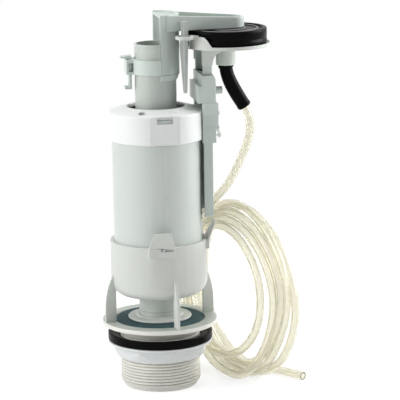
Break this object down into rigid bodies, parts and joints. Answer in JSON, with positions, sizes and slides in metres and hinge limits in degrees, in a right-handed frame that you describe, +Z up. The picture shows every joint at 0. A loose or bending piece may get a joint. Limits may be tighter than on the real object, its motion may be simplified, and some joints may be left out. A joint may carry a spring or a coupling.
{
  "type": "toilet flush valve",
  "caption": "Air-operated toilet flush valve: threaded outlet, leg cage and canister, lift tube with seal, and a lift arm over a rubber bellows on a sliding rail with a coiled clear hose.",
  "frame": {"origin": "centre of the outlet tail's bottom face, on the axis of the outlet's bore", "axes": "+Z up along the valve's axis, +X from the lift tube towards the lift arm's nose"},
  "size_m": [0.1505, 0.1298, 0.279],
  "materials": {
    "tail_plastic": "moulded, satin",
    "cage_plastic": "moulded, satin",
    "nut_plastic": "moulded, satin",
    "canister_plastic": "moulded, smooth",
    "cap_plastic": "moulded, smooth",
    "arm_plastic": "moulded, satin",
    "black_rubber": "moulded, soft sheen",
    "seal_rubber": "matt",
    "hose_vinyl": "clear, smooth",
    "pin_steel": "drawn wire"
  },
  "bodies": {
    "base": {"outlet_tail": "tail_plastic", "leg_cage": "cage_plastic", "canister": "canister_plastic", "canister_cap": "cap_plastic", "rail_bracket": "arm_plastic", "catch_pin": "pin_steel", "hose_coil": "hose_vinyl", "hose_tail": "hose_vinyl"},
    "washer": {"sealing_washer": "black_rubber"},
    "nut": {"back_nut": "nut_plastic"},
    "lift_tube": {"overflow_tube": "canister_plastic", "delay_float": "cap_plastic", "seal_plate": "cage_plastic", "flush_seal": "seal_rubber", "seal_retainer": "cage_plastic"},
    "arm": {"lift_arm": "arm_plastic", "guide_rod": "cap_plastic"},
    "key": {"clamp_key": "arm_plastic"},
    "tray": {"bellows_tray": "arm_plastic", "rail_bar": "arm_plastic", "hose_sleeve": "black_rubber", "hose_lead": "hose_vinyl"},
    "bellows_body": {"bellows": "black_rubber"},
    "screw": {"clamp_screw": "arm_plastic"},
    "catch": {"rail_catch": "cap_plastic"}
  },
  "joints": [
    {"name": "washer_travel", "type": "slide", "parent": "base", "child": "washer", "axis": [0, 0, 1], "range_m": [-0.0197, 0.0056]},
    {"name": "nut_turn", "type": "hinge", "parent": "washer", "child": "nut", "pos_m": [0, 0, 0.0287], "axis": [0, 0, 1], "range_deg": [-3060, 864]},
    {"name": "flush_lift", "type": "slide", "parent": "base", "child": "lift_tube", "axis": [0, 0, 1], "range_m": [0, 0.014]},
    {"name": "arm_height", "type": "slide", "parent": "lift_tube", "child": "arm", "axis": [0, 0, 1], "range_m": [0, 0.01]},
    {"name": "key_slide", "type": "slide", "parent": "arm", "child": "key", "axis": [0, 0, 1], "range_m": [0, 0.008]},
    {"name": "rail_slide", "type": "slide", "parent": "base", "child": "tray", "axis": [0, 0, 1], "range_m": [0, 0.01]},
    {"name": "bellows_rise", "type": "slide", "parent": "tray", "child": "bellows_body", "axis": [0, 0, 1], "range_m": [0, 0.014], "deforming": ["bellows"]},
    {"name": "screw_turn", "type": "hinge", "parent": "base", "child": "screw", "pos_m": [0.0434, 0, 0.2202], "axis": [1, 0, 0], "continuous": true},
    {"name": "catch_swing", "type": "hinge", "parent": "base", "child": "catch", "pos_m": [0.0441, 0, 0.1933], "axis": [0, -1, 0], "range_deg": [0, 25]}
  ],
  "couplings": [
    {"joint": "washer_travel", "follows": "nut_turn", "m_per_rad": 0.00036749},
    {"joint": "arm_height", "follows": "rail_slide", "ratio": 1},
    {"joint": "bellows_rise", "follows": "flush_lift", "ratio": 1}
  ]
}
